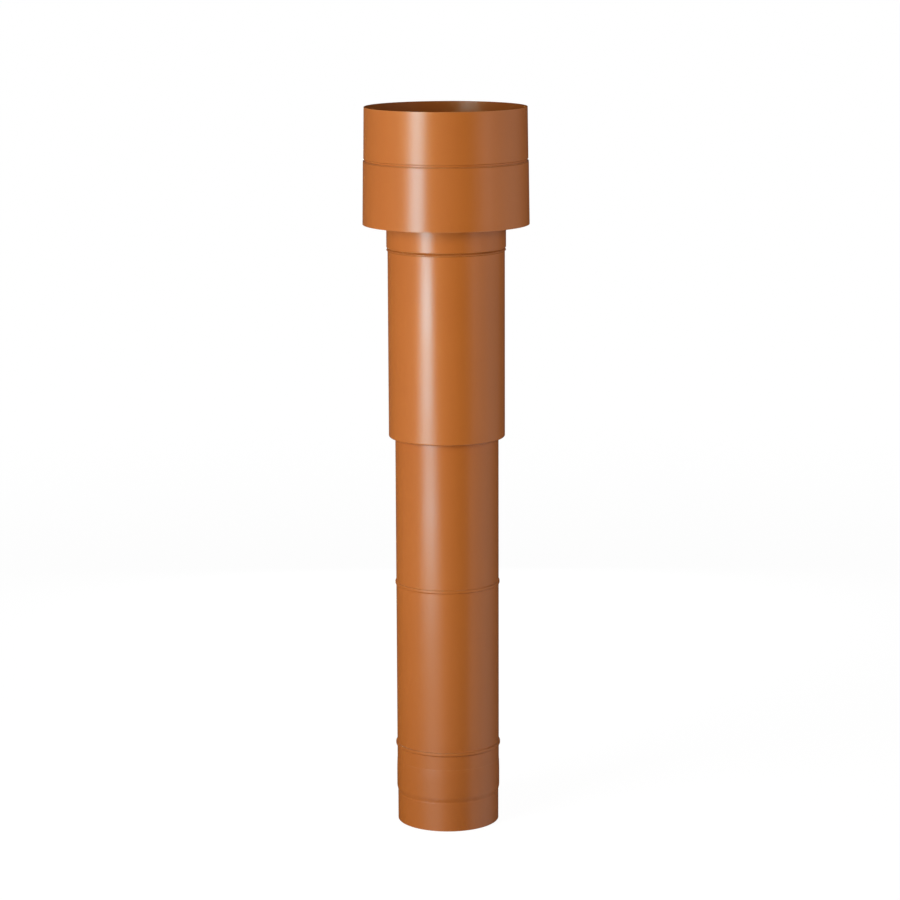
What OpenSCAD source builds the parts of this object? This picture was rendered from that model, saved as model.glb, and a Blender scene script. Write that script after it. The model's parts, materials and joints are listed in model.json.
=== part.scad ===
// Roof ventilation pipe of painted sheet steel: a round duct that stands on its male end,
// an outer casing round its upper part, and an open ring hood round its mouth.
// Millimetres, +Z up, with the origin at the centre of the lower end.

/* [Sheet] */
// Thickness of the sheet steel
sheet = 0.6; // [0.4:0.1:1.2]
// Clearance between two tubes that slide into each other
lap_gap = 0.1; // [0.05:0.05:0.2]
// Clearance between a sheet's edge and the piece that it rests on
seat_gap = 0.3; // [0.1:0.1:0.5]

/* [Duct] */
// Inside diameter of the duct
duct_bore = 160; // [100:1:315]
// How much smaller the male end's outside diameter is than the duct's bore
spigot_play = 0.4; // [0.2:0.1:1]
// Length of the male end, from the lower edge to the middle of its stop groove
spigot_len = 49; // [30:1:80]
// Visible length of the sleeve above the stop groove
sleeve_len = 51; // [30:1:90]
// Distance from the sleeve's upper edge to the middle of the lower bead
lower_bead_rise = 25; // [12:1:60]
// Distance between the middles of the two beads
bead_spacing = 261; // [100:1:400]
// Distance from the middle of the upper bead to the lower edge of the casing
casing_rise = 232; // [60:1:400]
// Height of a rolled bead
bead_h = 7; // [4:0.5:8]
// How far the upper bead stands out of the duct
upper_bead_out = 1.5; // [1:0.1:2.5]
// How far the lower bead stands out of the duct
lower_bead_out = 2; // [1:0.1:2.5]
// Height of the stop groove
stop_groove_h = 5; // [4:0.5:7]
// Depth of the stop groove below the face of the male end
stop_groove_in = 1; // [0.8:0.1:1.6]

/* [Casing] */
// Space all round between the duct and the casing, which sets the casing's bore
jacket_gap = 9.4; // [6:0.1:60]
// Visible length of the casing, from its lower edge to the neck collar
casing_len = 292; // [150:1:500]
// Outside radius of the casing's turned-in lower corner
casing_corner_r = 4; // [2:0.5:6]

/* [Neck] */
// Play all round between the casing and the neck collar, which the crimp closes
neck_play = 1.2; // [1:0.1:3]
// Visible length of the neck collar below the hood
neck_len = 40; // [20:1:80]
// Height of the crimp that holds the neck collar on the casing
crimp_h = 4.5; // [4:0.5:8]
// Distance from the neck collar's lower edge to the middle of the crimp
crimp_rise = 3.75; // [3.5:0.25:12]
// Depth of the groove in the casing that the crimp sits in
casing_groove_in = 0.5; // [0.3:0.1:0.9]
// Clearance above and below the crimp in that groove
crimp_room = 0.75; // [0.5:0.05:1.5]
// How far the neck collar reaches up inside the hood
neck_inside = 85; // [60:1:110]

/* [Mouth] */
// How far the duct's mouth stands above the neck collar
mouth_rise = 30; // [20:1:50]
// Fall of the mouth ring, from the duct out to the neck collar
mouth_ring_fall = 5; // [2:0.5:10]
// Height of the flange and of the lip on the mouth ring
mouth_ring_lip = 10; // [6:1:14]

/* [Hood] */
// Space all round between the neck collar and the hood's upper rim
hood_gap = 32.6; // [20:0.1:80]
// Height of the hood
hood_h = 180; // [150:1:260]
// Angle at which the hood's wall widens downwards
hood_flare = 0.8; // [0:0.1:1.5]
// Distance from the upper rim to the top edge of the lower ring
seam_drop = 82.5; // [60:0.5:110]
// Height of the groove above the lower ring's top edge
hood_groove_h = 4; // [4:0.5:8]
// Depth of that groove
hood_groove_in = 1.3; // [1:0.1:2]
// How far the upper ring reaches down inside the lower ring
hood_lap = 15; // [8:1:25]

/* [Brackets] */
// Width of a bracket
bracket_w = 25; // [15:1:40]
// Thickness of a bracket
bracket_t = 1.5; // [1:0.1:3]
// Height of a bracket's feet
bracket_foot = 28; // [15:1:36]
// Distance from the hood's lower edge to the bottom of the brackets
bracket_rise = 15; // [5:1:20]
// Angle of the first bracket, from the front round to the right
bracket_angle = 60; // [0:5:115]

/* [Hidden] */
$fn = 180;

paint = "#b06a34";
paint_shade = "#8a5530";

// Heights of the levels, from the lower end up
groove_z = spigot_len;
sleeve_top = groove_z + sleeve_len;
lower_bead_z = sleeve_top + lower_bead_rise;
upper_bead_z = lower_bead_z + bead_spacing;
casing_z = upper_bead_z + casing_rise;
neck_z = casing_z + casing_len;
hood_z = neck_z + neck_len;
neck_top = hood_z + neck_inside;
mouth_z = neck_top + mouth_rise;
total_h = hood_z + hood_h;

// Radii of the tubes, each the inner face unless it says outer
duct_r = duct_bore / 2;
duct_outer = duct_r + sheet;
sleeve_r = duct_outer + lap_gap;
spigot_outer = (duct_bore - spigot_play) / 2;
spigot_r = spigot_outer - sheet;
casing_r = duct_outer + jacket_gap;
casing_outer = casing_r + sheet;
neck_r = casing_outer + neck_play;
neck_outer = neck_r + sheet;
hood_r = neck_outer + hood_gap;

// The duct's lower end rests on the shoulder above the stop groove
shoulder_z = groove_z + stop_groove_h / 2 + (sleeve_r - spigot_r);
duct_z = shoulder_z + seat_gap;

// The crimp crosses the play between the neck collar and the casing, and sits in
// the casing's groove
crimp_z = neck_z + crimp_rise;
crimp_in = neck_play + casing_groove_in - lap_gap;
casing_groove_h = crimp_h + 2 * crimp_room;

// The mouth ring slopes from its flange on the duct to its lip on the neck collar
ring_r = duct_outer + lap_gap;
ring_outer = neck_outer + lap_gap + sheet;
ring_z = neck_top + seat_gap;
casing_top = ring_z - seat_gap;

// Length along the hood's flared wall, and the middle of its groove from the rim
wall_len = hood_h / cos(hood_flare);
hood_groove_z = -seam_drop + hood_groove_h / 2;

// Number of brackets round the neck collar, and the height of their upper face
bracket_count = 3;
bracket_top = hood_z + bracket_rise + bracket_foot;

// Radius of an arc with the given chord and rise
function arc_r(chord, rise) = (chord * chord / 4 + rise * rise) / (2 * rise);

// Inner radius of the hood's lower ring at height z
function hood_inner(z) = hood_r + sheet + lap_gap + (total_h - z) * tan(hood_flare);

// A bead is [height of its middle, chord, rise], and a negative rise is a groove.
// Its disc has the sheet's far face as its rim where grow is the sheet, and the
// near face where grow is 0.
module bead_disc(r, bead, grow) {
    side = sign(bead[2]);
    rise = abs(bead[2]);
    face = arc_r(bead[1], rise);
    back = side > 0 ? grow - sheet : grow;
    translate([r + sheet + side * (rise - face), bead[0]])
        circle(r = face + back);
}

// Half plane on the side of the wall to which a bead stands out
module bead_side(r, bead) {
    reach = 4 * bead[1];
    left = bead[2] > 0 ? r : r + sheet - reach;
    translate([left, bead[0] - reach / 2])
        square([reach, reach]);
}

// Section of a sheet wall with inner radius r, from low to high, with rounded
// edges where they are asked for and with beads and grooves rolled into it
module wall(r, low, high, beads = [], round_low = true, round_high = true) {
    soft = sheet / 2;
    from = round_low ? low + soft : low;
    to = round_high ? high - soft : high;
    difference() {
        union() {
            translate([r, from])
                square([sheet, to - from]);
            if (round_low)
                translate([r + soft, from])
                    circle(r = soft);
            if (round_high)
                translate([r + soft, to])
                    circle(r = soft);
            for (bead = beads)
                intersection() {
                    bead_disc(r, bead, sheet);
                    bead_side(r, bead);
                }
        }
        for (bead = beads)
            bead_disc(r, bead, 0);
    }
}

// The hood's wall frame: height 0 at the rim, radius 0 at the inner face there
module hood_frame() {
    translate([hood_r, total_h])
        rotate(hood_flare)
            children();
}

// The round duct, with a stiffening bead and a bead above the sleeve
module duct_pipe() {
    color(paint)
        rotate_extrude()
            wall(duct_r, duct_z, mouth_z, [
                [lower_bead_z, bead_h, lower_bead_out],
                [upper_bead_z, bead_h, upper_bead_out],
            ]);
}

// Sleeve round the duct's lower end, drawn in to the male end below a stop groove
module end_spigot() {
    groove_top = groove_z + stop_groove_h / 2;
    color(paint)
        rotate_extrude() {
            wall(sleeve_r, shoulder_z, sleeve_top, round_low = false);
            polygon([
                [spigot_r, groove_top],
                [spigot_outer, groove_top],
                [sleeve_r + sheet, shoulder_z],
                [sleeve_r, shoulder_z],
            ]);
            wall(spigot_r, 0, groove_top, [[groove_z, stop_groove_h, -stop_groove_in]],
                round_low = false, round_high = false);
        }
}

// Outer casing, its lower edge turned in to the duct round a soft corner
module casing() {
    corner_mid = casing_outer - casing_corner_r;
    flange_r = duct_outer + lap_gap;
    color(paint)
        rotate_extrude() {
            wall(casing_r, casing_z + casing_corner_r, casing_top,
                [[crimp_z, casing_groove_h, -casing_groove_in]], round_low = false);
            translate([flange_r, casing_z])
                square([corner_mid - flange_r, sheet]);
            translate([corner_mid, casing_z + casing_corner_r])
                intersection() {
                    difference() {
                        circle(r = casing_corner_r);
                        circle(r = casing_corner_r - sheet);
                    }
                    translate([0, -casing_corner_r])
                        square(casing_corner_r);
                }
        }
}

// Collar that carries the hood, crimped onto the casing near its lower edge
module neck_collar() {
    color(paint)
        rotate_extrude()
            wall(neck_r, neck_z, neck_top, [[crimp_z, crimp_h, -crimp_in]]);
}

// Ring that closes the space between the duct and the neck collar
module mouth_ring() {
    flange_z = ring_z + mouth_ring_fall;
    color(paint_shade)
        rotate_extrude()
            polygon([
                [ring_r, flange_z + mouth_ring_lip],
                [ring_r + sheet, flange_z + mouth_ring_lip],
                [ring_r + sheet, flange_z],
                [ring_outer, ring_z + sheet],
                [ring_outer, ring_z - mouth_ring_lip],
                [ring_outer - sheet, ring_z - mouth_ring_lip],
                [ring_outer - sheet, ring_z],
                [ring_r, flange_z - sheet],
            ]);
}

// Upper ring of the hood, with a groove above the lower ring and a lap inside it
module hood_upper_ring() {
    color(paint)
        rotate_extrude()
            hood_frame()
                wall(0, -seam_drop - hood_lap, 0, [[hood_groove_z, hood_groove_h, -hood_groove_in]]);
}

// Lower ring of the hood, one sheet outside the upper ring
module hood_lower_ring() {
    color(paint)
        rotate_extrude()
            hood_frame()
                wall(sheet + lap_gap, -wall_len, -seam_drop);
}

// Section of a bracket: a foot on the neck collar, a web and a foot on the hood
module bracket_section() {
    low = bracket_top - bracket_foot;
    inner = neck_outer + lap_gap;
    web = bracket_top - bracket_t;
    outer_low = hood_inner(low) - lap_gap;
    outer_top = hood_inner(bracket_top) - lap_gap;
    translate([inner, low])
        square([bracket_t, bracket_foot]);
    polygon([
        [inner, web],
        [hood_inner(web) - lap_gap, web],
        [outer_top, bracket_top],
        [inner, bracket_top],
    ]);
    polygon([
        [outer_low - bracket_t, low],
        [outer_low, low],
        [outer_top, bracket_top],
        [outer_top - bracket_t, bracket_top],
    ]);
}

// Bracket number i, a strap that is bent to both walls
module hood_bracket(i) {
    color(paint_shade)
        rotate([0, 0, bracket_angle - 90 + (i - 1) * 360 / bracket_count])
            intersection() {
                rotate_extrude()
                    bracket_section();
                translate([0, -bracket_w / 2, hood_z])
                    cube([2 * hood_r, bracket_w, hood_h]);
            }
}

duct_pipe();
end_spigot();
casing();
neck_collar();
mouth_ring();
hood_upper_ring();
hood_lower_ring();
for (i = [1:bracket_count])
    hood_bracket(i);
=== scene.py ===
"""A roof ventilation pipe of painted sheet steel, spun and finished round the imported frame."""

import json
import math

import bmesh
import bpy
from bpy.props import FloatProperty, FloatVectorProperty, IntProperty, PointerProperty
from mathutils import Matrix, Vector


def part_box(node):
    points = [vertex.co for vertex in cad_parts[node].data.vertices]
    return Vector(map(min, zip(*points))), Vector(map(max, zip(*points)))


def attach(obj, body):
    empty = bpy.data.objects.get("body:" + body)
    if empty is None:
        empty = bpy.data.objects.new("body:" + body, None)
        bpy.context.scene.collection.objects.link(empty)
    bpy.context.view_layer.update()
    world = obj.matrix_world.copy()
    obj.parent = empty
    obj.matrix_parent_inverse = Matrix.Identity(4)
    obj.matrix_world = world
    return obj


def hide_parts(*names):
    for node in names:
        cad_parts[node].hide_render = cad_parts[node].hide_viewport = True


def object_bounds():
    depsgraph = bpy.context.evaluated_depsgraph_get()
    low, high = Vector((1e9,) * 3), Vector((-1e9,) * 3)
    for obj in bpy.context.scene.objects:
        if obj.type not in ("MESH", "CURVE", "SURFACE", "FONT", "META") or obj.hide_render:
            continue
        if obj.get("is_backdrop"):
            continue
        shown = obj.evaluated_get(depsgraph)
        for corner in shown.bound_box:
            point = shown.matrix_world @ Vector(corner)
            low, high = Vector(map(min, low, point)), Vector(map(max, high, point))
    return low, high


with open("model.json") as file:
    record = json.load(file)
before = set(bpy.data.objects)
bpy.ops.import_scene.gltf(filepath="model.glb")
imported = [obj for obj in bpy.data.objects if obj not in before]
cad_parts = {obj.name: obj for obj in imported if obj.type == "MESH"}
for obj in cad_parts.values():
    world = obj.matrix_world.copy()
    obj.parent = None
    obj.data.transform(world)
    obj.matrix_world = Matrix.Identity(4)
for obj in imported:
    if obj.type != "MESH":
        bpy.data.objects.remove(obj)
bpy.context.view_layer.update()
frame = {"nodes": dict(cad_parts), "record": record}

bl_info = {
    "name": "Ventilation Pipe",
    "version": (1, 0, 0),
    "blender": (4, 5, 0),
    "location": "View3D > Sidebar > Vent Pipe",
    "description": "Builds the sheets, the paint and the stage of a roof ventilation pipe",
    "category": "Object",
}

MM = 0.001
MOUNTS = {mount["name"]: mount for mount in frame["record"]["mounts"]}
BRACKETS = sorted(node for node in frame["nodes"] if node.startswith("hood_bracket_"))

# Vertices nearer to each other than this, in metres, are one
MERGE_DISTANCE = 0.000002
# Edges that turn by more than this, in radians, are cut edges of the sheet
CUT_ANGLE = 0.9
# Faces across a rounded cut edge
CUT_STEPS = 2
# How much of a bead's arc rounds its crest, and how much softens its foot
CREST_SHARE = 0.4
FOOT_SHARE = 0.4
# How much painted shade darkens the crimp, the sheet along a lap, the hood's hem crease, the upper
# edge of its groove, and a bead's upper foot
CRIMP_SHADE = 0.68
LAP_SHADE = 0.5
HEM_SHADE = 0.5
GROOVE_SHADE = 0.3
BEAD_SHADE = 0.25
# Where the painted shade on a bead lies, as a share of the bead's height above its middle, and
# how many times further than elsewhere it spreads
BEAD_SHADE_RISE = 0.4
BEAD_SHADE_SPREAD = 2
# How much dust lies on the sheets outside and on those inside the hood
OUTER_DUST = 0.25
INNER_DUST = 0.6
# Values between which most of a noise lies
NOISE_LIMITS = (0.3, 0.7)
# How much rougher full dust and full painted shade make the paint
DUST_ROUGHNESS = 0.4
SHADE_ROUGHNESS = 1.2
# Where the duct's and the sleeve's paint pattern starts, so that it runs on from one to the other
DUCT_SHIFT = (0.3, 0.1, 0.0)

# Radius of the floor, in metres
FLOOR_RADIUS = 60
# Straight sides of the floor and of the tent
FLOOR_STEPS = 64
TENT_STEPS = 96
# Share of the ambient light that reaches a level floor, since it fades upwards
FLOOR_SHARE = 1 / 3
# Distances from the pipe, in metres, between which the lamps' light on the floor fades out
LIT_FLOOR = (0.8, 4.0)
# Widths and heights of the lamps, in metres
KEY_SIZE = (0.9, 1.6)
FILL_SIZE = (0.6, 0.8)
# Brightness of the reflection tent at angles in degrees from the front, to the right
TENT_LIGHT = ((-180, 0.05), (-165, 0.05), (-142, 0.1), (-122, 0.12), (-103, 0.35), (-84, 0.6),
              (-71, 1.0), (-16, 1.0), (0, 0.6), (9, 0.4), (28, 0.12), (42, 0.25), (50, 1.1),
              (84, 1.0), (103, 0.6), (122, 0.12), (142, 0.05))
# The tent's left half is dimmed to the least share of its light below the first level, in metres,
# and not at all above the second. The dimming starts at the first angle, in radians, and is full
# beyond the second.
LEFT_LEAST = 0.4
LEFT_LEVELS = (-0.1, 0.5)
LEFT_ANGLES = (-0.3, -0.9)
# Brightness of the tent's strip, as a share, at levels in metres
STRIP_LIGHT = ((0.0, 0.055), (0.1, 0.038), (0.24, 0.094), (0.35, 0.175), (0.41, 0.225),
               (0.64, 0.225), (0.76, 0.46), (0.835, 0.46), (0.86, 0.2), (1.0, 0.3),
               (1.16, 0.16), (1.26, 1.3))
# Between these levels, in metres, the strip's soft edges narrow from the first width to the
# second, in degrees
STRIP_LEVELS = (0.1, 0.8)
STRIP_EDGES = (26, 6)
# The strip is dimmed to a share of its light for surfaces that would mirror it at a grazing
# angle. These are about as far from it as the stage's hidden distance: within the first number
# of that, in metres, they get the share, and beyond the second they get the whole.
STRIP_DIM = 0.1
STRIP_FADE = (0.022, 0.043)


# ---------------------------------------------------------------- settings


def length(name, description, default, **more):
    """A length property whose default is given in millimetres."""
    return FloatProperty(name=name, description=description, default=default * MM,
                         precision=5, unit="LENGTH", **more)


def share(name, description, default):
    """A property between 0 and 1."""
    return FloatProperty(name=name, description=description, default=default,
                         min=0.0, max=1.0, precision=4, subtype="FACTOR")


def angle(name, description, degrees):
    """An angle property whose default is given in degrees."""
    return FloatProperty(name=name, description=description, default=math.radians(degrees),
                         subtype="ANGLE")


def power(name, description, watts):
    """The power of a lamp."""
    return FloatProperty(name=name, description=description, default=watts, min=0.0,
                         unit="POWER")


def brightness(name, description, default):
    """The strength of a light that isn't a lamp."""
    return FloatProperty(name=name, description=description, default=default, min=0.0)


def colour(name, description, default):
    """A colour in linear red, green and blue."""
    return FloatVectorProperty(name=name, description=description, default=default,
                               size=3, min=0.0, max=1.0, subtype="COLOR")


class PipeSizes(bpy.types.PropertyGroup):
    """Sizes of the rolled and folded sheet that the frame's boxes and mounts don't give"""

    sheet: length("Sheet", "Thickness of the sheet steel", 0.6, min=0.0002)
    lap: length("Lap", "Clearance between two tubes that slide into each other", 0.1)
    cut_round: length("Cut Rounding", "Rounding of the sheet's cut edges", 0.2)
    bend_round: length("Bend Rounding", "Rounding of a folded corner", 1.2)
    steps: IntProperty(name="Steps", description="Faces round a tube", default=256,
                       min=32, max=512)
    round_steps: IntProperty(name="Round Steps", description="Faces across a rounded corner",
                             default=6, min=2, max=16)
    bead_height: length("Bead Height", "Height of a rolled bead on the duct", 6)
    lower_bead_rise: length("Lower Bead Level", "From the sleeve up to the lower bead", 25)
    lower_bead_out: length("Lower Bead Depth", "How far the lower bead stands out", 2)
    upper_bead_fall: length("Upper Bead Level", "From the casing down to the upper bead", 232)
    upper_bead_out: length("Upper Bead Depth", "How far the upper bead stands out", 1.5)
    stop_level: length("Stop Groove Level", "Middle of the male end's stop groove", 46.2)
    stop_height: length("Stop Groove Height", "Height of the stop groove", 3.2)
    stop_in: length("Stop Groove Depth", "Depth of the stop groove", 0.2)
    shoulder: length("Shoulder Height", "Height over which the sleeve is drawn in", 6)
    shoulder_round: length("Shoulder Rounding", "Rounding of the shoulder's corners", 2.4)
    feather: length("Feather", "Height over which the sleeve's upper edge thins out", 14)
    casing_round: length("Casing Corner", "Outer radius of the casing's lower corner", 2.5)
    crimp_rise: length("Crimp Level", "From the neck collar's edge to its crimp", 2.8)
    crimp_height: length("Crimp Height", "Height of the crimp", 3.4)
    crimp_in: length("Crimp Depth", "Depth of the crimp", 1.6)
    seat_height: length("Crimp Seat Height", "Height of the casing's groove", 6)
    seat_in: length("Crimp Seat Depth", "Depth of the casing's groove", 0.5)
    groove_rise: length("Hood Groove Level", "From the lower ring's edge to the groove", 1.4)
    groove_height: length("Hood Groove Height", "Height of the hood's groove", 4)
    groove_in: length("Hood Groove Depth", "Depth of the hood's groove", 1.3)
    hem_fall: length("Hem Level", "From the lower ring's upper edge to its hem crease", 1.2)
    hem_height: length("Hem Height", "Height of the hem crease", 1.8)
    hem_in: length("Hem Depth", "Depth of the hem crease", 0.2)
    # How far the painted shade spreads from a crease
    crease_reach: length("Crease Reach", "How far grime spreads from a crease", 0.9)
    flare: angle("Flare", "Angle at which the hood widens downwards", 0.8)
    ring_lip: length("Mouth Ring Lip", "Height of the mouth ring's flange and lip", 10)
    strap: length("Strap", "Thickness of a bracket's strap", 1.5)
    strap_width: length("Strap Width", "Width of a bracket's strap", 25)
    strap_steps: IntProperty(name="Strap Steps", description="Faces across a strap",
                             default=12, min=4, max=32)


class PipeFinish(bpy.types.PropertyGroup):
    """Colours and surface of the paint"""

    paint: colour("Paint", "Colour of the paint", (0.46, 0.129, 0.0155))
    paint_deep: colour("Deep Paint", "Colour where the paint lies thicker", (0.43, 0.117, 0.013))
    # Darker copy of the paint: painted shade on the inner sides and on the pieces inside the hood
    inner: colour("Painted Inner Shade", "Colour of the thinner coat on the inner sides",
                  (0.36, 0.098, 0.014))
    # Dark colour of the painted shade in the creases and under the collar's edge
    painted_shade: colour("Painted Shade", "Colour of the dirt in creases", (0.06, 0.02, 0.006))
    # Lighter tone along the cut edges: partly a thinner coat, partly a painted highlight on the
    # rims
    edge_coat_and_highlight: colour("Edge Coat And Highlight", "Colour of the thin coat on a cut edge", (0.52, 0.2, 0.06))
    dust: colour("Dust", "Colour of settled dust", (0.42, 0.33, 0.25))
    gloss_low: share("Smooth", "Roughness where the paint is smoothest", 0.28)
    gloss_high: share("Rough", "Roughness where the paint is roughest", 0.33)
    specular: share("Specular", "Specular level of the paint", 0.5)
    peel: length("Peel", "Height of the paint's orange peel", 0.012)
    wave: length("Wave", "Height of the sheet's slow waves", 0.25)


class PipeStage(bpy.types.PropertyGroup):
    """Camera, lamps, floor and reflection tent"""

    camera_distance: length("Camera Distance", "From the pipe's axis to the camera", 4565.1)
    camera_rise: length("Camera Height", "From the hood's rim up to the camera", 311.2)
    camera_pitch: angle("Camera Pitch", "How far the camera looks down", 10.496)
    camera_yaw: angle("Camera Yaw", "Turn of the camera to the right", 0.059)
    camera_roll: angle("Camera Roll", "Turn of the picture", -0.219)
    lens: FloatProperty(name="Lens", description="Focal length of the camera in millimetres",
                        default=118.87, min=20.0)
    key_power: power("Key Power", "Power of the key lamp", 31.4)
    key_angle: angle("Key Angle", "Key lamp's angle from the front, to the right", -47)
    key_distance: length("Key Distance", "From the pipe's axis to the key and back lamps", 1800)
    key_height: length("Key Height", "Height of the key and back lamps' middle", 1000)
    back_power: power("Back Power", "Power of the lamp behind the pipe", 16)
    fill_power: power("Fill Power", "Power of the small lamp on the right", 5.6)
    fill_angle: angle("Fill Angle", "Fill lamp's angle from the front, to the right", 50)
    fill_distance: length("Fill Distance", "From the pipe's axis to the fill lamp", 1300)
    fill_height: length("Fill Height", "Height of the fill lamp's middle", 1100)
    ambient: brightness("Ambient", "Strength of the soft light all round, which is strongest "
                        "from the sides and fades upwards", 0.42)
    backdrop: brightness("Backdrop", "Strength of the white that shows behind the pipe", 1.0)
    floor_shade: share("Floor Shade", "Depth of the shadows that the floor shows", 0.1)
    floor_light: share("Floor Light", "How brightly the lamps light the floor round the pipe",
                       0.5)
    floor_bounce: share("Floor Bounce", "How much light the floor gives back", 0.65)
    tent_radius: length("Tent Radius", "From the pipe's axis to the reflection tent", 600)
    tent_low: length("Tent Bottom", "Level of the reflection tent's bottom", -400)
    tent_high: length("Tent Top", "Level of the reflection tent's roof", 1350)
    tent_ends: brightness("Tent Ends", "Brightness of the tent's floor and roof", 0.15)
    strip_angle: angle("Strip Angle", "Bright strip's angle from the front, to the right", -36.5)
    strip_width: angle("Strip Width", "Width of the bright strip", 11)
    strip_light: brightness("Strip Light", "Brightness of the strip", 58)
    strip_tint: colour("Strip Tint", "Colour of the bright strip", (0.28, 0.75, 1.0))
    strip_hidden: length("Strip Hidden", "Distance at which surfaces mirror the strip dimly", 575)


# ---------------------------------------------------------------- shapes


def bead(radius, middle, height, rise, lean=0.0):
    """Corners of a rolled bead, or of a groove where the rise is negative, from the bottom up.

    A corner is a radius, a height and the length of its rounding. The crest's corners lie
    where the tangents at the arc's feet cross its crest. The lean is the wall's own angle, by
    which it narrows upwards."""
    half = height / 2
    arc = (half * half + rise * rise) / (2 * abs(rise))
    reach = arc * math.tan(math.asin(half / arc) / 2)

    def corner(offset, out, rounding):
        return (radius + out - offset * math.tan(lean), middle + offset, reach * rounding)

    return [
        corner(-half, 0, FOOT_SHARE),
        corner(-reach, rise, CREST_SHARE),
        corner(reach, rise, CREST_SHARE),
        corner(half, 0, FOOT_SHARE),
    ]


def wire(bm, corners, round_steps):
    """A chain of edges through the corners, in the plane y = 0, each rounded by its length."""
    verts = [bm.verts.new((radius, 0, height)) for radius, height, _ in corners]
    for start, end in zip(verts, verts[1:]):
        bm.edges.new((start, end))
    for vert, (_, _, rounding) in zip(verts, corners):
        if rounding:
            bmesh.ops.bevel(bm, geom=[vert], offset=rounding, offset_type="OFFSET",
                            segments=round_steps, profile=0.5, affect="VERTICES", material=-1)


def thicken(bm, thickness, cut_round):
    """Gives a sheet whose faces point outwards its thickness on the inside, and rounds the cuts."""
    bmesh.ops.solidify(bm, geom=bm.faces[:], thickness=thickness)
    cuts = [edge for edge in bm.edges
            if len(edge.link_faces) == 2 and edge.calc_face_angle() > CUT_ANGLE]
    bmesh.ops.bevel(bm, geom=cuts, offset=cut_round, offset_type="OFFSET",
                    segments=CUT_STEPS, profile=0.5, affect="EDGES", material=-1)


def finish_piece(bm, name, nodes, material):
    """Turns the bmesh into a smooth piece that stands for the nodes and rides on the root."""
    for face in bm.faces:
        face.smooth = True
    mesh = bpy.data.meshes.new(name)
    bm.to_mesh(mesh)
    bm.free()
    mesh.materials.append(material)
    piece = bpy.data.objects.new(name, mesh)
    bpy.context.scene.collection.objects.link(piece)
    normals = piece.modifiers.new("Even Normals", "WEIGHTED_NORMAL")
    normals.mode = "FACE_AREA"
    normals.keep_sharp = True
    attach(piece, "root")
    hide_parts(*nodes)


def spun_sheet(name, node, corners, material):
    """A sheet spun round the pipe's axis from the corners of its outer face."""
    sizes = bpy.context.scene.pipe_sizes
    bm = bmesh.new()
    wire(bm, corners, sizes.round_steps)
    bmesh.ops.remove_doubles(bm, verts=bm.verts[:], dist=MERGE_DISTANCE)
    bmesh.ops.spin(bm, geom=bm.verts[:] + bm.edges[:], cent=(0, 0, 0), axis=(0, 0, 1),
                   dvec=(0, 0, 0), angle=math.tau, steps=sizes.steps, use_merge=True)
    bmesh.ops.remove_doubles(bm, verts=bm.verts[:], dist=MERGE_DISTANCE)
    bmesh.ops.recalc_face_normals(bm, faces=bm.faces[:])
    thicken(bm, sizes.sheet, sizes.cut_round)
    finish_piece(bm, name, [node], material)


def levels(node):
    """The lowest and highest level of a node, and its largest radius."""
    low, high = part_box(node)
    return low.z, high.z, high.x


# ---------------------------------------------------------------- materials


class Nodes:
    """Short ways to add linked nodes to one tree."""

    def __init__(self, tree):
        self.tree = tree

    def add(self, kind, inputs=None, **settings):
        """A new node with its settings, and with values or links for its inputs."""
        node = self.tree.nodes.new(kind)
        for key, value in settings.items():
            setattr(node, key, value)
        for key, value in (inputs or {}).items():
            self.feed(node.inputs[key], value)
        return node

    def feed(self, socket, value):
        """Links an output to the socket, or gives the socket a value."""
        if isinstance(value, bpy.types.NodeSocket):
            self.tree.links.new(value, socket)
        else:
            socket.default_value = value

    def math(self, operation, *values):
        """The result of one sum on values or outputs."""
        return self.add("ShaderNodeMath", dict(enumerate(values)), operation=operation).outputs[0]

    def noise(self, vector, scale, detail=2.0):
        """A soft noise between 0 and 1."""
        inputs = {"Vector": vector, "Scale": scale, "Detail": detail}
        return self.add("ShaderNodeTexNoise", inputs).outputs["Fac"]

    def spread(self, value, low, high, out_low=0.0, out_high=1.0):
        """Takes the value's range from low to high to another range, and stops at its ends."""
        inputs = {"Value": value, "From Min": low, "From Max": high,
                  "To Min": out_low, "To Max": out_high}
        return self.add("ShaderNodeMapRange", inputs, clamp=True).outputs["Result"]

    def ease(self, value, low, high, out_low=0.0, out_high=1.0):
        """Like spread, but it starts and ends softly."""
        result = self.spread(value, low, high, out_low, out_high)
        result.node.interpolation_type = "SMOOTHSTEP"
        return result

    def ramp(self, value, stops):
        """A colour ramp in greys, from pairs of a place between 0 and 1 and a level of grey."""
        node = self.add("ShaderNodeValToRGB", {0: value})
        elements = node.color_ramp.elements
        for number, (at, grey) in enumerate(stops):
            stop = elements[number] if number < 2 else elements.new(at)
            stop.position = at
            stop.color = (grey, grey, grey, 1)
        return node.outputs["Color"]

    def mix_colour(self, factor, first, second):
        """The first colour, mixed with the factor's share of the second."""
        node = self.add("ShaderNodeMix", data_type="RGBA")
        self.feed(node.inputs["Factor"], factor)
        self.feed(node.inputs["A"], first)
        self.feed(node.inputs["B"], second)
        return node.outputs["Result"]


def group_tree(name, inputs, outputs):
    """A shader node group with its named sockets, and its input and output nodes."""
    tree = bpy.data.node_groups.new(name, "ShaderNodeTree")
    for label, (kind, default) in inputs.items():
        socket = tree.interface.new_socket(label, in_out="INPUT", socket_type=kind)
        if default is not None:
            socket.default_value = default
    for label, kind in outputs.items():
        tree.interface.new_socket(label, in_out="OUTPUT", socket_type=kind)
    return tree, tree.nodes.new("NodeGroupInput"), tree.nodes.new("NodeGroupOutput")


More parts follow.
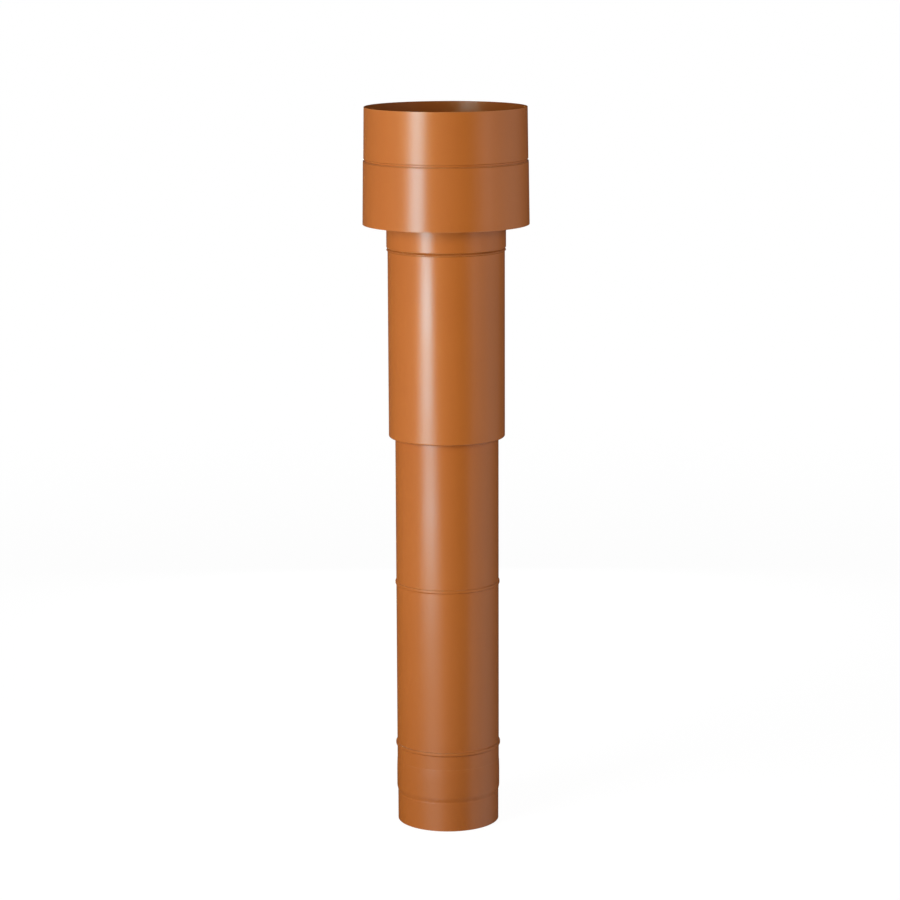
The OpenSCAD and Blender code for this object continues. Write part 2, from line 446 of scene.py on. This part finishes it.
def tone_group():
    """Slow and fine changes of the paint's colour, and a lighter tone along the cut edges, partly a
    thinner coat and partly a painted highlight.
    """
    tree, entry, result = group_tree("paint_tone", {
        "Vector": ("NodeSocketVector", None),
        "Paint": ("NodeSocketColor", None),
        "Deep Paint": ("NodeSocketColor", None),
        "Patches": ("NodeSocketFloat", 4.0),
        "Speckle": ("NodeSocketFloat", 900.0),
        "Speckle Share": ("NodeSocketFloat", 0.35),
        "Tone Low": ("NodeSocketFloat", 0.45),
        "Tone High": ("NodeSocketFloat", 0.9),
        "Edge Low": ("NodeSocketFloat", 0.0),
        "Edge High": ("NodeSocketFloat", 1.0),
        "Edge Reach": ("NodeSocketFloat", 0.002),
        "Edge Coat And Highlight": ("NodeSocketColor", None),
        "Edge Grain": ("NodeSocketFloat", 60.0),
        "Edge Amount": ("NodeSocketFloat", 0.5),
    }, {"Color": "NodeSocketColor"})
    nodes, sockets = Nodes(tree), entry.outputs
    patches = nodes.noise(sockets["Vector"], sockets["Patches"], detail=3.0)
    speckle = nodes.noise(sockets["Vector"], sockets["Speckle"], detail=1.0)
    depth = nodes.math("MULTIPLY_ADD", speckle, sockets["Speckle Share"], patches)
    deep = nodes.ease(depth, sockets["Tone Low"], sockets["Tone High"])
    coat = nodes.mix_colour(deep, sockets["Paint"], sockets["Deep Paint"])
    height = nodes.add("ShaderNodeSeparateXYZ", {0: sockets["Vector"]}).outputs["Z"]
    above = nodes.math("SUBTRACT", height, sockets["Edge Low"])
    below = nodes.math("SUBTRACT", sockets["Edge High"], height)
    away = nodes.math("MINIMUM", above, below)
    edge = nodes.spread(away, sockets["Edge Reach"], 0.0)
    uneven = nodes.spread(nodes.noise(sockets["Vector"], sockets["Edge Grain"]), *NOISE_LIMITS)
    # Lighter band along the cuts: partly a thinner coat, partly a painted highlight
    thin_coat_and_highlight = nodes.math("MULTIPLY", nodes.math("MULTIPLY", edge, uneven), sockets["Edge Amount"])
    nodes.feed(result.inputs["Color"], nodes.mix_colour(thin_coat_and_highlight, coat, sockets["Edge Coat And Highlight"]))
    return tree


def sheen_group():
    """Roughness that changes in long streaks down the sheet and in soft patches."""
    tree, entry, result = group_tree("paint_sheen", {
        "Vector": ("NodeSocketVector", None),
        "Smooth": ("NodeSocketFloat", 0.25),
        "Rough": ("NodeSocketFloat", 0.35),
        "Streaks": ("NodeSocketFloat", 60.0),
        "Streak Share": ("NodeSocketFloat", 0.6),
        "Stretch": ("NodeSocketVector", (1.0, 1.0, 0.04)),
        "Patches": ("NodeSocketFloat", 9.0),
        "Rub Low": ("NodeSocketFloat", 0.5),
        "Rub High": ("NodeSocketFloat", 1.1),
    }, {"Roughness": "NodeSocketFloat"})
    nodes, sockets = Nodes(tree), entry.outputs
    drawn = nodes.add("ShaderNodeVectorMath", {0: sockets["Vector"], 1: sockets["Stretch"]},
                      operation="MULTIPLY").outputs["Vector"]
    streaks = nodes.noise(drawn, sockets["Streaks"], detail=3.0)
    patches = nodes.noise(sockets["Vector"], sockets["Patches"])
    both = nodes.math("MULTIPLY_ADD", streaks, sockets["Streak Share"], patches)
    rub = nodes.ease(both, sockets["Rub Low"], sockets["Rub High"])
    nodes.feed(result.inputs["Roughness"],
               nodes.spread(rub, 0.0, 1.0, sockets["Smooth"], sockets["Rough"]))
    return tree


def relief_group():
    """Height, in metres, of the orange peel and of the slow waves that rolling leaves."""
    tree, entry, result = group_tree("paint_relief", {
        "Vector": ("NodeSocketVector", None),
        "Peel Scale": ("NodeSocketFloat", 420.0),
        "Peel Height": ("NodeSocketFloat", 0.00001),
        "Wave Scale": ("NodeSocketFloat", 6.0),
        "Wave Stretch": ("NodeSocketVector", (1.0, 1.0, 0.5)),
        "Wave Height": ("NodeSocketFloat", 0.0002),
    }, {"Height": "NodeSocketFloat"})
    nodes, sockets = Nodes(tree), entry.outputs
    peel = nodes.noise(sockets["Vector"], sockets["Peel Scale"], detail=1.0)
    drawn = nodes.add("ShaderNodeVectorMath", {0: sockets["Vector"], 1: sockets["Wave Stretch"]},
                      operation="MULTIPLY").outputs["Vector"]
    wave = nodes.noise(drawn, sockets["Wave Scale"], detail=1.0)
    slow = nodes.math("MULTIPLY", wave, sockets["Wave Height"])
    nodes.feed(result.inputs["Height"],
               nodes.math("MULTIPLY_ADD", peel, sockets["Peel Height"], slow))
    return tree


def dust_group():
    """Mask of the dust that settles, unevenly, where a surface faces up."""
    tree, entry, result = group_tree("settled_dust", {
        "Vector": ("NodeSocketVector", None),
        "Amount": ("NodeSocketFloat", 0.3),
        "Grain": ("NodeSocketFloat", 45.0),
        "Grain Low": ("NodeSocketFloat", 0.3),
        "Grain High": ("NodeSocketFloat", 0.75),
        "Steep": ("NodeSocketFloat", 0.4),
        "Level": ("NodeSocketFloat", 0.95),
    }, {"Dust": "NodeSocketFloat"})
    nodes, sockets = Nodes(tree), entry.outputs
    normal = nodes.add("ShaderNodeNewGeometry").outputs["Normal"]
    facing = nodes.add("ShaderNodeSeparateXYZ", {0: normal}).outputs["Z"]
    upward = nodes.spread(facing, sockets["Steep"], sockets["Level"])
    grain = nodes.noise(sockets["Vector"], sockets["Grain"], detail=4.0)
    uneven = nodes.spread(grain, sockets["Grain Low"], sockets["Grain High"])
    masked = nodes.math("MULTIPLY", upward, uneven)
    nodes.feed(result.inputs["Dust"], nodes.math("MULTIPLY", masked, sockets["Amount"]))
    return tree


def crease_shade_group():
    """Mask of the painted shade that darkens, unevenly, a crease round the pipe."""
    tree, entry, result = group_tree("crease_shade", {
        "Vector": ("NodeSocketVector", None),
        "Level": ("NodeSocketFloat", 0.0),
        "Reach": ("NodeSocketFloat", 0.001),
        "Amount": ("NodeSocketFloat", 0.5),
        "Grain": ("NodeSocketFloat", 30.0),
        "Least": ("NodeSocketFloat", 0.75),
    }, {"Painted Shade": "NodeSocketFloat"})
    nodes, sockets = Nodes(tree), entry.outputs
    height = nodes.add("ShaderNodeSeparateXYZ", {0: sockets["Vector"]}).outputs["Z"]
    away = nodes.math("ABSOLUTE", nodes.math("SUBTRACT", height, sockets["Level"]))
    near = nodes.ease(away, sockets["Reach"], 0.0)
    grain = nodes.noise(sockets["Vector"], sockets["Grain"])
    uneven = nodes.ease(grain, *NOISE_LIMITS, sockets["Least"], 1.0)
    masked = nodes.math("MULTIPLY", near, uneven)
    nodes.feed(result.inputs["Painted Shade"], nodes.math("MULTIPLY", masked, sockets["Amount"]))
    return tree


def back_group():
    """Mask of a sheet's side that faces the pipe's axis, which the paint gives painted shade."""
    tree, entry, result = group_tree("sheet_back", {
        "Vector": ("NodeSocketVector", None),
    }, {"Back": "NodeSocketFloat"})
    nodes = Nodes(tree)
    level = nodes.add("ShaderNodeVectorMath", {0: entry.outputs["Vector"], 1: (1, 1, 0)},
                      operation="MULTIPLY").outputs["Vector"]
    normal = nodes.add("ShaderNodeNewGeometry").outputs["Normal"]
    outward = nodes.add("ShaderNodeVectorMath", {0: normal, 1: level},
                        operation="DOT_PRODUCT").outputs["Value"]
    nodes.feed(result.inputs["Back"], nodes.math("LESS_THAN", outward, 0.0))
    return tree


GROUP_MAKERS = {
    "paint_tone": tone_group,
    "paint_sheen": sheen_group,
    "paint_relief": relief_group,
    "settled_dust": dust_group,
    "crease_shade": crease_shade_group,
    "sheet_back": back_group,
}


def placed_group(nodes, name, inputs):
    """Places a shared group in a material, with its own values, building it the first time."""
    tree = bpy.data.node_groups.get(name) or GROUP_MAKERS[name]()
    node = nodes.add("ShaderNodeGroup", node_tree=tree)
    for key, value in inputs.items():
        nodes.feed(node.inputs[key], value)
    return node.outputs


def rgba(values):
    """A colour socket's four values, from a colour property's three."""
    return (*values, 1.0)


def paint_material(name, edges, paint=None, deep=None, creases=(), dust=OUTER_DUST,
                   shift=(0.0, 0.0, 0.0)):
    """Semi-gloss paint on sheet steel.

    The edges are the levels of the sheet's two cuts, a crease is the level, reach and amount
    of its painted shade, and the shift moves the pattern, so that it differs from piece to piece."""
    finish = bpy.context.scene.pipe_finish
    material = bpy.data.materials.new(name)
    material.use_nodes = True
    nodes = Nodes(material.node_tree)
    shader = material.node_tree.nodes["Principled BSDF"]
    at = nodes.add("ShaderNodeTexCoord").outputs["Object"]
    place = nodes.add("ShaderNodeMapping", {"Vector": at, "Location": shift}).outputs["Vector"]
    tone = placed_group(nodes, "paint_tone", {
        "Vector": place,
        "Paint": rgba(paint or finish.paint),
        "Deep Paint": rgba(deep or finish.paint_deep),
        "Edge Low": edges[0] + shift[2],
        "Edge High": edges[1] + shift[2],
        "Edge Coat And Highlight": rgba(finish.edge_coat_and_highlight),
    })
    sheen = placed_group(nodes, "paint_sheen", {
        "Vector": place,
        "Smooth": finish.gloss_low,
        "Rough": finish.gloss_high,
    })
    relief = placed_group(nodes, "paint_relief", {
        "Vector": place,
        "Peel Height": finish.peel,
        "Wave Height": finish.wave,
    })
    settled = placed_group(nodes, "settled_dust", {"Vector": place, "Amount": dust})
    bump = nodes.add("ShaderNodeBump", {"Height": relief["Height"], "Distance": 1.0})
    # Painted shade: the side that faces the axis takes the darker inner colour
    back = placed_group(nodes, "sheet_back", {"Vector": at})
    coat = nodes.mix_colour(back["Back"], tone["Color"], rgba(finish.inner))
    coat = nodes.mix_colour(settled["Dust"], coat, rgba(finish.dust))
    dull = nodes.math("MULTIPLY_ADD", settled["Dust"], DUST_ROUGHNESS, sheen["Roughness"])
    # Each crease gets painted shade: a darker colour and rougher paint
    for level, reach, amount in creases:
        shading = placed_group(nodes, "crease_shade", {
            "Vector": place,
            "Level": level + shift[2],
            "Reach": reach,
            "Amount": amount,
        })
        coat = nodes.mix_colour(shading["Painted Shade"], coat, rgba(finish.painted_shade))
        dull = nodes.math("MULTIPLY_ADD", shading["Painted Shade"], SHADE_ROUGHNESS, dull)
    nodes.feed(shader.inputs["Base Color"], coat)
    nodes.feed(shader.inputs["Roughness"], dull)
    nodes.feed(shader.inputs["Normal"], bump.outputs["Normal"])
    shader.inputs["Specular IOR Level"].default_value = finish.specular
    return material


# ---------------------------------------------------------------- pieces


class PIPE_OT_duct(bpy.types.Operator):
    """Spin the duct, with its two rolled beads"""

    bl_idname = "pipe.duct"
    bl_label = "Duct"

    def execute(self, context):
        sizes = context.scene.pipe_sizes
        radius = MOUNTS["duct_bore"]["dims"]["r_mm"] * MM + sizes.sheet
        low, high, _ = levels("duct_pipe")
        lower = levels("end_spigot")[1] + sizes.lower_bead_rise
        upper = levels("casing")[0] - sizes.upper_bead_fall
        corners = [
            (radius, low, 0),
            *bead(radius, lower, sizes.bead_height, sizes.lower_bead_out),
            *bead(radius, upper, sizes.bead_height, sizes.upper_bead_out),
            (radius, high, 0),
        ]
        # Painted shade along each bead's upper foot
        creases = [(level + sizes.bead_height * BEAD_SHADE_RISE,
                    sizes.crease_reach * BEAD_SHADE_SPREAD, BEAD_SHADE)
                   for level in (lower, upper)]
        material = paint_material("duct_paint", (low, high), creases=creases, shift=DUCT_SHIFT)
        spun_sheet("duct_sheet", "duct_pipe", corners, material)
        return {"FINISHED"}


class PIPE_OT_spigot(bpy.types.Operator):
    """Spin the sleeve that is drawn in to the male end"""

    bl_idname = "pipe.spigot"
    bl_label = "Spigot"

    def execute(self, context):
        sizes = context.scene.pipe_sizes
        radius = MOUNTS["duct_spigot"]["dims"]["r_mm"] * MM
        low, high, sleeve = levels("end_spigot")
        groove_top = sizes.stop_level + sizes.stop_height / 2
        corners = [
            (radius, low, 0),
            *bead(radius, sizes.stop_level, sizes.stop_height, -sizes.stop_in)[:3],
            (radius, groove_top, sizes.shoulder_round / 2),
            (sleeve, groove_top + sizes.shoulder, sizes.shoulder_round),
            (sleeve, high - sizes.feather, sizes.feather / 2),
            (sleeve - sizes.sheet, high, 0),
        ]
        material = paint_material("spigot_paint", (low, high), shift=DUCT_SHIFT)
        spun_sheet("spigot_sheet", "end_spigot", corners, material)
        return {"FINISHED"}


class PIPE_OT_casing(bpy.types.Operator):
    """Spin the casing, with its turned-in lower edge and the groove for the crimp"""

    bl_idname = "pipe.casing"
    bl_label = "Casing"

    def execute(self, context):
        sizes = context.scene.pipe_sizes
        low, high, radius = levels("casing")
        flange = MOUNTS["duct_bore"]["dims"]["r_mm"] * MM + sizes.sheet + sizes.lap
        crimp = levels("neck_collar")[0] + sizes.crimp_rise
        corners = [
            (flange, low, 0),
            (radius, low, sizes.casing_round),
            *bead(radius, crimp, sizes.seat_height, -sizes.seat_in),
            (radius, high, 0),
        ]
        # Painted shade on the casing just under the neck collar's edge
        lap = levels("neck_collar")[0] - sizes.crease_reach
        creases = [(lap, sizes.crease_reach, LAP_SHADE)]
        material = paint_material("casing_paint", (low, high), creases=creases,
                                  shift=(0.1, 0.8, 0.0))
        spun_sheet("casing_sheet", "casing", corners, material)
        return {"FINISHED"}


class PIPE_OT_neck(bpy.types.Operator):
    """Spin the neck collar, crimped near its lower edge, and the ring at the duct's mouth"""

    bl_idname = "pipe.neck"
    bl_label = "Neck Collar and Mouth Ring"

    def execute(self, context):
        sizes = context.scene.pipe_sizes
        low, high, radius = levels("neck_collar")
        corners = [
            (radius, low, 0),
            *bead(radius, low + sizes.crimp_rise, sizes.crimp_height, -sizes.crimp_in),
            (radius, high, 0),
        ]
        # Painted shade in the crimp
        creases = [(low + sizes.crimp_rise, sizes.crimp_height / 2, CRIMP_SHADE)]
        material = paint_material("neck_paint", (low, high), creases=creases,
                                  shift=(0.5, 0.2, 0.0))
        spun_sheet("neck_sheet", "neck_collar", corners, material)

        inner = context.scene.pipe_finish.inner
        flange = MOUNTS["duct_bore"]["dims"]["r_mm"] * MM + 2 * sizes.sheet + sizes.lap
        low, high, radius = levels("mouth_ring")
        corners = [
            (radius, low, 0),
            (radius, low + sizes.ring_lip + sizes.sheet, sizes.bend_round),
            (flange, high - sizes.ring_lip, sizes.bend_round),
            (flange, high, 0),
        ]
        # Painted shade: the mouth ring inside the hood takes the darker inner colour all over
        material = paint_material("ring_paint", (low, high), paint=inner, deep=inner,
                                  dust=INNER_DUST, shift=(0.2, 0.6, 0.0))
        spun_sheet("mouth_ring_sheet", "mouth_ring", corners, material)
        return {"FINISHED"}


class PIPE_OT_hood(bpy.types.Operator):
    """Spin the hood's two flared rings, the upper one with its groove"""

    bl_idname = "pipe.hood"
    bl_label = "Hood Rings"

    def execute(self, context):
        sizes = context.scene.pipe_sizes
        lean = math.tan(sizes.flare)
        low, seam, foot = levels("hood_lower_ring")
        edge = foot - (seam - low) * lean
        crease = seam - sizes.hem_fall
        corners = [
            (foot, low, 0),
            *bead(edge + sizes.hem_fall * lean, crease, sizes.hem_height, -sizes.hem_in,
                  sizes.flare),
            (edge, seam, 0),
        ]
        # Painted shade in the hem crease
        material = paint_material("lower_ring_paint", (low, seam),
                                  creases=[(crease, sizes.crease_reach, HEM_SHADE)],
                                  shift=(0.9, 0.3, 0.0))
        spun_sheet("lower_ring_sheet", "hood_lower_ring", corners, material)

        low, rim, foot = levels("hood_upper_ring")
        groove = seam + sizes.groove_rise
        at_groove = foot - (groove - low) * lean
        corners = [
            (foot, low, 0),
            *bead(at_groove, groove, sizes.groove_height, -sizes.groove_in, sizes.flare),
            (foot - (rim - low) * lean, rim, 0),
        ]
        # Painted shade along the groove's upper edge
        top = groove + sizes.groove_height / 2
        material = paint_material("upper_ring_paint", (low, rim),
                                  creases=[(top, sizes.crease_reach, GROOVE_SHADE)],
                                  shift=(0.6, 0.9, 0.0))
        spun_sheet("upper_ring_sheet", "hood_upper_ring", corners, material)
        return {"FINISHED"}


class PIPE_OT_brackets(bpy.types.Operator):
    """Bend the straps that hold the hood to the neck collar"""

    bl_idname = "pipe.brackets"
    bl_label = "Brackets"

    def execute(self, context):
        sizes = context.scene.pipe_sizes
        inner = context.scene.pipe_finish.inner
        bottom, top, _ = levels(BRACKETS[0])
        # Painted shade: the straps inside the hood take the darker inner colour all over
        material = paint_material("bracket_paint", (bottom, top), paint=inner, deep=inner,
                                  dust=INNER_DUST)
        for node in BRACKETS:
            low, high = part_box(node)
            middle = (low + high) / 2
            bm = bracket_strap(sizes, low.z, high.z)
            bmesh.ops.rotate(bm, verts=bm.verts[:], cent=(0, 0, 0),
                             matrix=Matrix.Rotation(math.atan2(middle.y, middle.x), 3, "Z"))
            name = node.replace("hood_bracket", "bracket_strap")
            finish_piece(bm, name, [node], material)
        return {"FINISHED"}


def bracket_strap(sizes, low, high):
    """A strap along +X with a foot curved to the neck collar and a foot curved to the hood."""
    inner = levels("neck_collar")[2] + sizes.lap + sizes.strap
    bottom, _, foot = levels("hood_lower_ring")
    lean = math.tan(sizes.flare)

    def hood_face(height):
        return foot - sizes.sheet - sizes.lap - (height - bottom) * lean

    bm = bmesh.new()
    wire(bm, [
        (inner - sizes.strap, low, 0),
        (inner - sizes.strap, high, sizes.bend_round + sizes.strap),
        (hood_face(high), high, sizes.bend_round + sizes.strap),
        (hood_face(low), low, 0),
    ], sizes.round_steps)
    bmesh.ops.translate(bm, verts=bm.verts[:], vec=(0, -sizes.strap_width / 2, 0))
    edges = bm.edges[:]
    for _ in range(sizes.strap_steps):
        made = bmesh.ops.extrude_edge_only(bm, edges=edges)["geom"]
        verts = [item for item in made if isinstance(item, bmesh.types.BMVert)]
        edges = [item for item in made if isinstance(item, bmesh.types.BMEdge)]
        bmesh.ops.translate(bm, verts=verts, vec=(0, sizes.strap_width / sizes.strap_steps, 0))
    for vert in bm.verts:
        vert.co.x = math.sqrt(vert.co.x ** 2 - vert.co.y ** 2)
    bmesh.ops.recalc_face_normals(bm, faces=bm.faces[:])
    thicken(bm, sizes.strap, sizes.cut_round)
    return bm


# ---------------------------------------------------------------- stage


def backdrop_mask(nodes):
    """1 for the rays that show the white backdrop: camera, glossy and transmission rays."""
    path = nodes.add("ShaderNodeLightPath").outputs
    shown = nodes.math("MAXIMUM", path["Is Camera Ray"], path["Is Glossy Ray"])
    return nodes.math("MAXIMUM", shown, path["Is Transmission Ray"])


def make_world(stage):
    """White where it shows, and a soft light from all sides for the surfaces."""
    world = bpy.data.worlds.new("studio")
    world.use_nodes = True
    bpy.context.scene.world = world
    nodes = Nodes(world.node_tree)
    lighting = world.node_tree.nodes["Background"]
    lighting.inputs["Color"].default_value = (1, 1, 1, 1)
    direction = nodes.add("ShaderNodeTexCoord").outputs["Generated"]
    rise = nodes.add("ShaderNodeSeparateXYZ", {0: direction}).outputs["Z"]
    level = nodes.math("SUBTRACT", 1.0, nodes.math("MULTIPLY", rise, rise))
    strength = nodes.math("MULTIPLY", nodes.math("MULTIPLY", level, level), stage.ambient)
    nodes.feed(lighting.inputs["Strength"], strength)
    shown = nodes.add("ShaderNodeBackground", {"Color": (1, 1, 1, 1), "Strength": stage.backdrop})
    both = nodes.add("ShaderNodeMixShader", {0: backdrop_mask(nodes), 1: lighting.outputs[0],
                                             2: shown.outputs[0]})
    nodes.feed(world.node_tree.nodes["World Output"].inputs["Surface"], both.outputs[0])


def make_floor(stage):
    """A white floor that keeps the pipe's shadow."""
    bm = bmesh.new()
    bmesh.ops.create_circle(bm, cap_ends=True, segments=FLOOR_STEPS,
                            radius=FLOOR_RADIUS)
    mesh = bpy.data.meshes.new("floor")
    bm.to_mesh(mesh)
    bm.free()
    floor = bpy.data.objects.new("floor", mesh)
    bpy.context.scene.collection.objects.link(floor)
    floor.visible_glossy = False
    material = bpy.data.materials.new("floor_white")
    material.use_nodes = True
    nodes = Nodes(material.node_tree)
    material.node_tree.nodes.remove(material.node_tree.nodes["Principled BSDF"])
    seen = nodes.add("ShaderNodeLightPath").outputs["Is Camera Ray"]
    white = nodes.math("MULTIPLY_ADD", seen, stage.floor_shade - stage.floor_bounce,
                       stage.floor_bounce)
    matt = nodes.add("ShaderNodeBsdfDiffuse", {"Color": white})
    at = nodes.add("ShaderNodeTexCoord").outputs["Object"]
    away = nodes.add("ShaderNodeVectorMath", {0: at}, operation="LENGTH").outputs["Value"]
    lit = nodes.ease(away, *LIT_FLOOR, stage.floor_light, stage.ambient * FLOOR_SHARE)
    glow = nodes.math("MULTIPLY_ADD", lit, -stage.floor_shade, stage.backdrop)
    strength = nodes.math("MULTIPLY", backdrop_mask(nodes), glow)
    shown = nodes.add("ShaderNodeEmission", {"Color": (1, 1, 1, 1), "Strength": strength})
    both = nodes.add("ShaderNodeAddShader", {0: matt.outputs[0], 1: shown.outputs[0]})
    nodes.feed(material.node_tree.nodes["Material Output"].inputs["Surface"], both.outputs[0])
    mesh.materials.append(material)
    floor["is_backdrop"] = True


def tent_mesh(stage):
    """The tent's round wall, with its floor and its roof in a second slot."""
    bm = bmesh.new()
    bmesh.ops.create_cone(bm, cap_ends=True, segments=TENT_STEPS,
                          radius1=stage.tent_radius, radius2=stage.tent_radius,
                          depth=stage.tent_high - stage.tent_low)
    middle = (stage.tent_low + stage.tent_high) / 2
    bmesh.ops.translate(bm, verts=bm.verts[:], vec=(0, 0, middle))
    for face in bm.faces:
        face.material_index = int(abs(face.normal.z) > 0.5)
    mesh = bpy.data.meshes.new("tent")
    bm.to_mesh(mesh)
    bm.free()
    return mesh


def make_tent(stage):
    """A round tent that only reflections show, dim but for the key lamp's bright strip."""
    mesh = tent_mesh(stage)
    tent = bpy.data.objects.new("tent", mesh)
    bpy.context.scene.collection.objects.link(tent)
    tent.visible_camera = False
    tent.visible_diffuse = False
    tent.visible_transmission = False
    tent.visible_shadow = False
    tent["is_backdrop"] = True

    nodes, light = glowing_material(mesh, "tent_wall")
    place = nodes.add("ShaderNodeTexCoord").outputs["Object"]
    across, depth, height = nodes.add("ShaderNodeSeparateXYZ", {0: place}).outputs
    turn = nodes.math("ARCTAN2", across, nodes.math("MULTIPLY", depth, -1.0))
    wall = tent_wall_light(nodes, turn, height)
    strip = strip_light(nodes, stage, turn, height)
    tinted = nodes.add("ShaderNodeVectorMath", {0: stage.strip_tint, 3: strip}, operation="SCALE")
    total = nodes.add("ShaderNodeVectorMath", {0: wall, 1: tinted.outputs[0]}, operation="ADD")
    nodes.feed(light.inputs["Color"], total.outputs[0])

    _, light = glowing_material(mesh, "tent_ends")
    light.inputs["Strength"].default_value = stage.tent_ends


def tent_wall_light(nodes, turn, height):
    """The wall's own light, which changes round the tent and is dimmed low on the left."""
    wall = nodes.ramp(nodes.spread(turn, -math.pi, math.pi),
                      [(degrees / 360 + 0.5, light) for degrees, light in TENT_LIGHT])
    left = nodes.spread(turn, *LEFT_ANGLES)
    dim = nodes.spread(height, *LEFT_LEVELS, 1.0 - LEFT_LEAST, 0.0)
    kept = nodes.math("SUBTRACT", 1.0, nodes.math("MULTIPLY", left, dim))
    return nodes.add("ShaderNodeVectorMath", {0: wall, 3: kept}, operation="SCALE").outputs[0]


def strip_light(nodes, stage, turn, height):
    """The light of the bright strip, with its soft edges."""
    off = nodes.math("ABSOLUTE", nodes.math("SUBTRACT", turn, stage.strip_angle))
    half = stage.strip_width / 2
    low_edge, high_edge = [half + math.radians(edge) for edge in STRIP_EDGES]
    strip = nodes.spread(off, nodes.spread(height, *STRIP_LEVELS, low_edge, high_edge), half)
    along = nodes.ramp(nodes.spread(height, 0.0, stage.tent_high),
                       [(level / stage.tent_high, light) for level, light in STRIP_LIGHT])
    strip = nodes.math("MULTIPLY", strip, along)
    reach = nodes.add("ShaderNodeLightPath").outputs["Ray Length"]
    apart = nodes.math("ABSOLUTE", nodes.math("SUBTRACT", reach, stage.strip_hidden))
    strip = nodes.math("MULTIPLY", strip, nodes.ease(apart, *STRIP_FADE, STRIP_DIM, 1.0))
    return nodes.math("MULTIPLY", strip, stage.strip_light)


def glowing_material(mesh, name):
    """A material of plain light, which lights nothing that doesn't mirror it."""
    material = bpy.data.materials.new(name)
    material.use_nodes = True
    material.cycles.emission_sampling = "NONE"
    nodes = Nodes(material.node_tree)
    material.node_tree.nodes.remove(material.node_tree.nodes["Principled BSDF"])
    light = nodes.add("ShaderNodeEmission", {"Color": (1, 1, 1, 1), "Strength": 1.0})
    nodes.feed(material.node_tree.nodes["Material Output"].inputs["Surface"], light.outputs[0])
    mesh.materials.append(material)
    return nodes, light


def make_lamp(name, watts, size, turn, distance, height):
    """A soft rectangular lamp that faces the pipe's axis and has no reflection."""
    data = bpy.data.lights.new(name, "AREA")
    data.shape = "RECTANGLE"
    data.size, data.size_y = size
    data.energy = watts
    lamp = bpy.data.objects.new(name, data)
    bpy.context.scene.collection.objects.link(lamp)
    lamp.location = (math.sin(turn) * distance, -math.cos(turn) * distance, height)
    lamp.rotation_euler = (math.pi / 2, 0, turn)
    lamp.visible_glossy = False


def make_camera(stage):
    """The camera in front of the pipe, a little above the hood."""
    data = bpy.data.cameras.new("camera")
    data.lens = stage.lens
    camera = bpy.data.objects.new("camera", data)
    bpy.context.scene.collection.objects.link(camera)
    _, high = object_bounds()
    turn = (Matrix.Rotation(-stage.camera_yaw, 4, "Z")
            @ Matrix.Rotation(math.pi / 2 - stage.camera_pitch, 4, "X")
            @ Matrix.Rotation(stage.camera_roll, 4, "Z"))
    place = Matrix.Translation((0, -stage.camera_distance, high.z + stage.camera_rise))
    camera.matrix_world = place @ turn
    bpy.context.scene.camera = camera


class PIPE_OT_stage(bpy.types.Operator):
    """Set up the floor, the soft light, the reflection tent and the camera"""

    bl_idname = "pipe.stage"
    bl_label = "Stage"

    def execute(self, context):
        scene = context.scene
        stage = scene.pipe_stage
        scene.view_settings.view_transform = "Standard"
        make_world(stage)
        make_floor(stage)
        make_tent(stage)
        make_lamp("key", stage.key_power, KEY_SIZE, stage.key_angle, stage.key_distance,
                  stage.key_height)
        make_lamp("fill", stage.fill_power, FILL_SIZE, stage.fill_angle, stage.fill_distance,
                  stage.fill_height)
        make_lamp("back", stage.back_power, KEY_SIZE, math.pi, stage.key_distance,
                  stage.key_height)
        make_camera(stage)
        return {"FINISHED"}


class PIPE_PT_panel(bpy.types.Panel):
    """The steps that build the pipe, in order"""

    bl_idname = "PIPE_PT_panel"
    bl_label = "Ventilation Pipe"
    bl_space_type = "VIEW_3D"
    bl_region_type = "UI"
    bl_category = "Vent Pipe"

    def draw(self, context):
        for step in STEPS:
            self.layout.operator(step.bl_idname)


SETTINGS = {"pipe_sizes": PipeSizes, "pipe_finish": PipeFinish, "pipe_stage": PipeStage}
STEPS = (PIPE_OT_duct, PIPE_OT_spigot, PIPE_OT_casing, PIPE_OT_neck, PIPE_OT_hood,
         PIPE_OT_brackets, PIPE_OT_stage)


def register():
    for item in (*SETTINGS.values(), *STEPS, PIPE_PT_panel):
        bpy.utils.register_class(item)
    for name, group in SETTINGS.items():
        setattr(bpy.types.Scene, name, PointerProperty(type=group))


def unregister():
    for name in SETTINGS:
        delattr(bpy.types.Scene, name)
    for item in reversed((*SETTINGS.values(), *STEPS, PIPE_PT_panel)):
        bpy.utils.unregister_class(item)


def main():
    """Builds the pipe and its stage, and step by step."""
    register()
    for step in STEPS:
        group, name = step.bl_idname.split(".")
        getattr(getattr(bpy.ops, group), name)()


if __name__ == "__main__":
    main()
